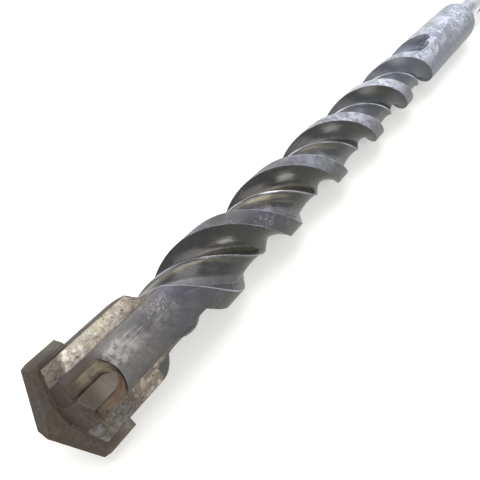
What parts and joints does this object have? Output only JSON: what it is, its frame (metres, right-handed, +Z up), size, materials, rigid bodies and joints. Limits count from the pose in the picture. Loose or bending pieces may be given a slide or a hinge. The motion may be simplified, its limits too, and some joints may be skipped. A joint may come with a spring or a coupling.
{
  "type": "four-cutter hammer drill bit",
  "caption": "Long masonry drill bit for a rotary hammer: stepped spiral steel body, cross head with a wide carbide plate and side cutters, slotted drive shank.",
  "frame": {"origin": "centre of the struck face, which is the flat end of the shank", "axes": "+X along the bit's axis towards its point, +Z up when the bit lies as pictured, +Y to the left of a viewer who looks along +X"},
  "size_m": [0.57, 0.035, 0.035],
  "materials": {
    "shank_steel": "turned, plain steel",
    "body_steel": "dark phosphated steel with worn, scratched patches",
    "carbide": "matt sintered grey",
    "braze": "dull, heat-stained"
  },
  "bodies": {
    "root": {"drive_shank": "shank_steel", "spiral_body": "body_steel", "main_carbide": "carbide", "main_braze": "braze", "side_carbide_1": "carbide", "side_braze_1": "braze", "side_carbide_2": "carbide", "side_braze_2": "braze"}
  },
  "joints": []
}
